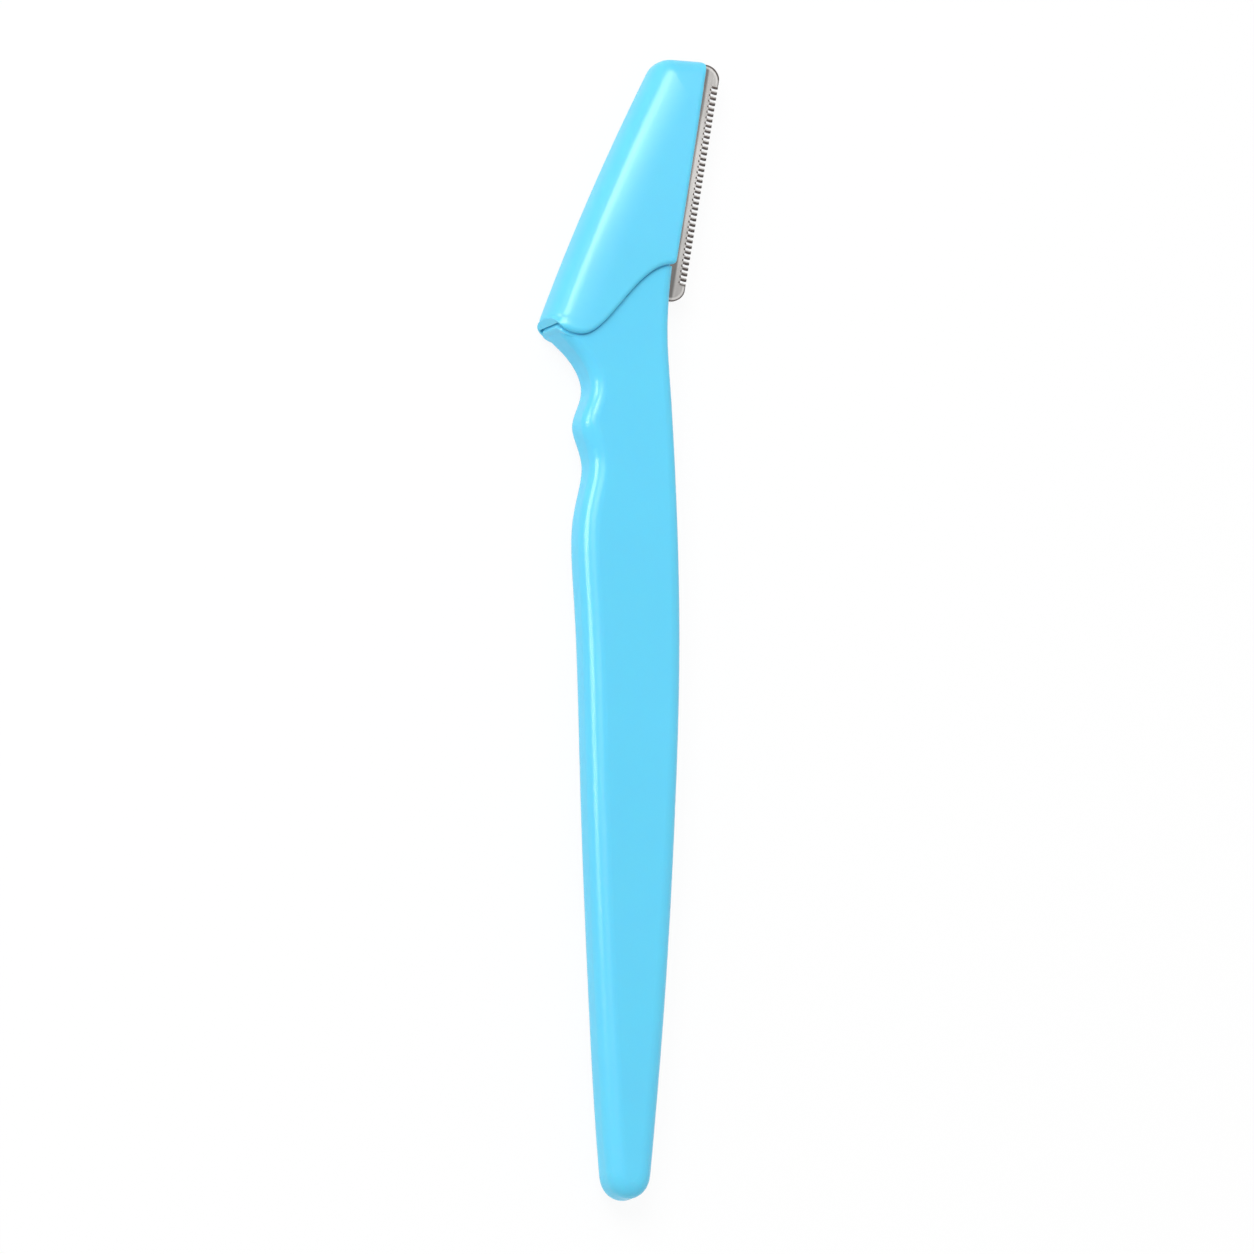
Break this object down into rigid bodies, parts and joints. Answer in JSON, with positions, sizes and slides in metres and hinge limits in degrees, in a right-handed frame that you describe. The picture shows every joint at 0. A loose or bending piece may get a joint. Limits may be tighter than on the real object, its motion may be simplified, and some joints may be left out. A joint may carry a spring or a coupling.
{
  "type": "eyebrow razor",
  "caption": "Slim moulded razor for shaping eyebrows: tapering grip with finger hollows, angled head holding a guarded straight blade, and a slip-on cover over the head.",
  "frame": {"origin": "middle of the razor's outline, at the level of the cover's back face", "axes": "+Y along the handle from tail to head, +X out of the blade edge's side, +Z out of the front face"},
  "size_m": [0.0246, 0.15, 0.0082],
  "materials": {
    "handle_plastic": "glossy sky blue",
    "cover_plastic": "glossy sky blue",
    "clamp_plastic": "moulded sky blue",
    "blade_steel": "stainless, ground bevel",
    "guard_steel": "satin stainless sheet"
  },
  "bodies": {
    "razor": {"handle": "handle_plastic", "cutting_blade": "blade_steel", "blade_guard": "guard_steel", "blade_clamp": "clamp_plastic"},
    "cover": {"safety_cover": "cover_plastic"}
  },
  "joints": [
    {"name": "cover_slide", "type": "slide", "parent": "razor", "child": "cover", "axis": [0.1702, 0.9854, 0], "range_m": [0, 0.045]}
  ]
}
